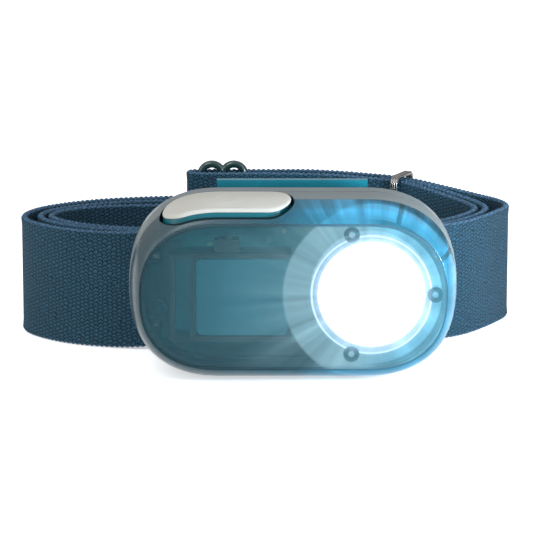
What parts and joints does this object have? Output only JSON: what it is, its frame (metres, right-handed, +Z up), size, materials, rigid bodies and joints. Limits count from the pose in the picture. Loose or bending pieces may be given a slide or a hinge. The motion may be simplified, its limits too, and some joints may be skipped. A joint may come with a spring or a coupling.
{
  "type": "headlamp",
  "caption": "Slim rechargeable headlamp with a tinted oval body that tilts on a bracket, a soft top button and a wide elastic headband coiled behind it.",
  "frame": {"origin": "centre of the outer box on the surface that the lamp and the band stand on", "axes": "+X to the right seen from the front and along the longest side, +Y from the lamp's face to the back of the band, +Z up"},
  "size_m": [0.1056, 0.0928, 0.0375],
  "materials": {
    "tinted_shell": "clear tinted, polished",
    "smoked_case": "satin, faintly translucent",
    "teal_plastic": "translucent, satin",
    "lens_clear": "clear, polished",
    "pale_rubber": "soft matte",
    "black_rubber": "matte",
    "dark_plastic": "satin",
    "mirrored": "vacuum plated",
    "steel": "bright",
    "aluminium": "milled",
    "board_green": "solder mask",
    "phosphor": "lit",
    "cell_wrap": "heat-shrunk film",
    "lead_red": "satin",
    "lead_black": "satin",
    "webbing": "woven elastic",
    "dark_wire": "gloss"
  },
  "bodies": {
    "bracket_and_band": {"bracket": "teal_plastic", "hinge_pin": "steel", "headband": "webbing", "keeper_ring": "steel"},
    "lamp": {"front_cover": "tinted_shell", "rear_case": "smoked_case", "case_gasket": "black_rubber", "case_screw_1": "steel", "case_screw_2": "steel", "case_screw_3": "steel", "case_screw_4": "steel", "circuit_board": "board_green", "battery_tray": "dark_plastic", "battery": "cell_wrap", "battery_lead_red": "lead_red", "battery_lead_black": "lead_black", "tact_switch": "dark_plastic", "usb_socket": "steel", "lens_window": "lens_clear", "lens_holder": "teal_plastic", "reflector": "mirrored", "led_emitter": "phosphor", "led_board": "aluminium", "heat_sink": "aluminium", "holder_screw_1": "steel", "holder_screw_2": "steel", "holder_screw_3": "steel"},
    "power_button": {"button_pad": "pale_rubber", "button_base": "teal_plastic"},
    "port_cover": {"port_plug": "black_rubber"},
    "band_slider": {"slider": "dark_wire"}
  },
  "joints": [
    {"name": "lamp_tilt", "type": "hinge", "parent": "bracket_and_band", "child": "lamp", "pos_m": [0.0051, -0.02133, 0.005], "axis": [1, 0, 0], "range_deg": [0, 60]},
    {"name": "button_press", "type": "slide", "parent": "lamp", "child": "power_button", "axis": [0, 0, -1], "range_m": [0, 0.0008], "stiffness_N_per_m": 1500},
    {"name": "port_cover_open", "type": "hinge", "parent": "lamp", "child": "port_cover", "pos_m": [0.03755, -0.03023, 0.0124], "axis": [0, 1, 0], "range_deg": [0, 110]},
    {"name": "slider_travel", "type": "slide", "parent": "bracket_and_band", "child": "band_slider", "axis": [1, 0, 0], "range_m": [0, 0.012]}
  ]
}
